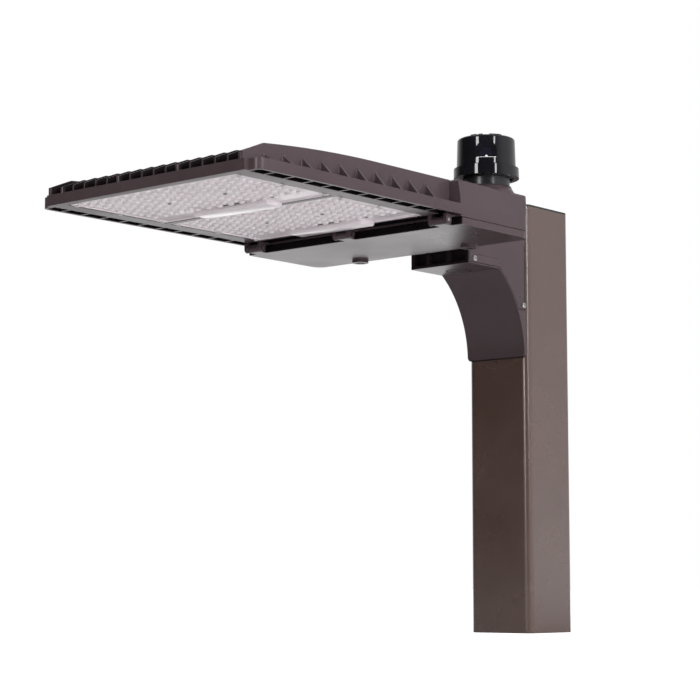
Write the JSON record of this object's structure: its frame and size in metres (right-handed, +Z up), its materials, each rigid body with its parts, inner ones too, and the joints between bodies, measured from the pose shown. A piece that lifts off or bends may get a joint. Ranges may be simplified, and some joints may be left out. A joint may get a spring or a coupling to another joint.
{
  "type": "shoebox area light",
  "caption": "Flat rectangular area light head with finned top, lens panels, hinged driver door and twist lock photocell, on a curved arm bolted to a square pole",
  "frame": {"origin": "middle of the square pole's cut foot, at the height of its cut face", "axes": "+Z up along the pole, the light head reaches out along -Y, +X to the head's side that carries the photocell"},
  "size_m": [0.3615, 0.7758, 0.6281],
  "materials": {
    "pole_paint": "bronze powder coat, satin, on steel",
    "cast_paint": "bronze powder coat, satin, on cast aluminium",
    "zinc": "zinc plated steel",
    "dark_plastic": "dark moulded plastic",
    "light_plastic": "white moulded plastic",
    "gasket": "soft silicone rubber",
    "board_white": "white coated circuit board",
    "lens": "clear moulded polycarbonate",
    "bare_aluminium": "bare aluminium case",
    "lead_red": "red silicone insulation",
    "lead_black": "black silicone insulation",
    "black_plastic": "black phenolic plastic",
    "black_gloss": "glossy black polycarbonate",
    "contact_brass": "plain brass",
    "board_green": "green circuit board",
    "relay_blue": "blue relay case",
    "window": "clear window"
  },
  "bodies": {
    "head_and_pole": {"pole_section": "pole_paint", "pole_cap": "pole_paint", "arm_casting": "cast_paint", "arm_side_cover": "cast_paint", "arm_cover_screws": "zinc", "arm_plug": "dark_plastic", "arm_gasket": "gasket", "pole_bolts": "zinc", "pole_bolt_washers": "zinc", "pole_nut_plate": "zinc", "housing_bolts": "zinc", "housing_bolt_washers": "zinc", "housing": "cast_paint", "wire_bushing": "gasket", "door_gasket": "gasket", "door_hinge_pins": "zinc", "led_board_front": "board_white", "led_board_rear": "board_white", "board_connectors": "light_plastic", "lens_front": "lens", "lens_rear": "lens", "lens_gasket_front": "gasket", "lens_gasket_rear": "gasket", "lens_screws": "zinc", "led_driver": "bare_aluminium", "driver_screws": "zinc", "surge_protector": "dark_plastic", "terminal_block": "light_plastic", "rear_module_lead": "lead_red", "front_module_lead": "lead_black", "receptacle_gasket": "gasket"},
    "door": {"driver_door": "cast_paint"},
    "left_screw": {"door_screw_left": "zinc"},
    "right_screw": {"door_screw_right": "zinc"},
    "receptacle": {"receptacle_body": "black_plastic", "receptacle_contacts": "contact_brass", "receptacle_nut": "zinc"},
    "photocell": {"photocell_gasket": "gasket", "photocell_base": "black_plastic", "photocell_blades": "contact_brass", "photocell_board": "board_green", "photocell_relay": "relay_blue", "photocell_cap": "black_gloss", "photocell_window": "window"}
  },
  "joints": [
    {"name": "door_hinge", "type": "hinge", "parent": "head_and_pole", "child": "door", "pos_m": [0, -0.375, 0.505], "axis": [-1, 0, 0], "range_deg": [0, 90]},
    {"name": "left_screw_turn", "type": "hinge", "parent": "door", "child": "left_screw", "pos_m": [-0.092, -0.235, 0.5], "axis": [0, 0, 1], "continuous": true},
    {"name": "right_screw_turn", "type": "hinge", "parent": "door", "child": "right_screw", "pos_m": [0.092, -0.235, 0.5], "axis": [0, 0, 1], "continuous": true},
    {"name": "receptacle_aim", "type": "hinge", "parent": "head_and_pole", "child": "receptacle", "pos_m": [0.14, -0.26, 0.56], "axis": [0, 0, 1], "range_deg": [-177, 177]},
    {"name": "photocell_twist", "type": "hinge", "parent": "receptacle", "child": "photocell", "pos_m": [0.14, -0.26, 0.58], "axis": [0, 0, 1], "range_deg": [0, 20]}
  ]
}
